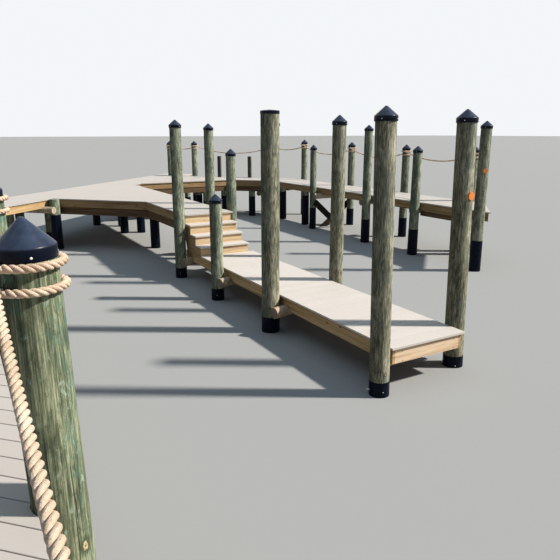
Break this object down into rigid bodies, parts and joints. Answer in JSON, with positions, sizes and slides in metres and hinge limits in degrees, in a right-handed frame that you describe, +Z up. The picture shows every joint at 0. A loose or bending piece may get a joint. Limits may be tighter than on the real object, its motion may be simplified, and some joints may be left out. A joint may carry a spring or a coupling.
{
  "type": "vinyl-decked timber dock",
  "caption": "Timber dock on round pilings with vinyl decking: a shore walkway, two piers with a rope rail, and a finger that steps down to a low boarding platform.",
  "frame": {"origin": "foot of the finger's outer corner piling, at the water line", "axes": "+Z up, +Y along the fingers towards the shore, +X across the fingers towards the far pier"},
  "size_m": [13.3684, 23.59, 3.2283],
  "materials": {
    "vinyl_decking": "pale grey-beige embossed vinyl boards",
    "piling_timber": "pressure-treated round pine, green-brown, checked and knotted",
    "log_timber": "pressure-treated round pine with sawn ends",
    "beam_timber": "weathered sawn pine",
    "framing_timber": "tan sawn pine",
    "manila_rope": "three-strand laid rope",
    "cap_plastic": "smooth blue-black",
    "wrap_plastic": "black sleeve",
    "reflector_lens": "orange prismatic lens"
  },
  "bodies": {
    "root": {"approach_deck": "vinyl_decking", "far_braces": "beam_timber", "far_gusset_deck": "vinyl_decking", "far_joists": "framing_timber", "far_leg_deck": "vinyl_decking", "far_pier_deck": "vinyl_decking", "far_pier_edge_boards": "framing_timber", "far_pier_lower_beams": "beam_timber", "far_pile_caps": "cap_plastic", "far_pile_wraps": "wrap_plastic", "far_rail_posts": "piling_timber", "far_rope_span_1": "manila_rope", "far_rope_span_2": "manila_rope", "far_rope_span_3": "manila_rope", "far_rope_span_4": "manila_rope", "far_rope_span_5": "manila_rope", "far_rope_span_6": "manila_rope", "far_rope_turns": "manila_rope", "far_row_pilings": "piling_timber", "finger_deck": "vinyl_decking", "finger_edge_boards": "framing_timber", "finger_joists": "framing_timber", "finger_low_pilings": "piling_timber", "finger_lower_beams": "beam_timber", "finger_pile_caps": "cap_plastic", "finger_pile_wraps": "wrap_plastic", "finger_tall_pilings": "piling_timber", "flat_pile_cap": "cap_plastic", "flush_pilings": "piling_timber", "leg_pedestals": "framing_timber", "low_cross_logs": "log_timber", "low_deck": "vinyl_decking", "low_end_rims": "framing_timber", "low_joists": "framing_timber", "low_side_rims": "framing_timber", "near_pier_deck": "vinyl_decking", "near_pier_edge_boards": "framing_timber", "near_pier_joists": "framing_timber", "near_pile_caps": "cap_plastic", "near_pile_wraps": "wrap_plastic", "near_rail_posts": "piling_timber", "near_rope_span_1": "manila_rope", "near_rope_span_2": "manila_rope", "near_rope_span_3": "manila_rope", "near_rope_span_4": "manila_rope", "near_rope_span_5": "manila_rope", "near_rope_turns": "manila_rope", "reflectors": "reflector_lens", "shore_beams": "beam_timber", "shore_deck": "vinyl_decking", "shore_edge_boards": "framing_timber", "shore_joists": "framing_timber", "stair_risers": "framing_timber", "stair_stringers": "framing_timber", "stair_treads": "vinyl_decking", "under_deck_pile_wraps": "wrap_plastic", "under_deck_pilings": "piling_timber", "upper_cross_logs": "log_timber"}
  },
  "joints": []
}
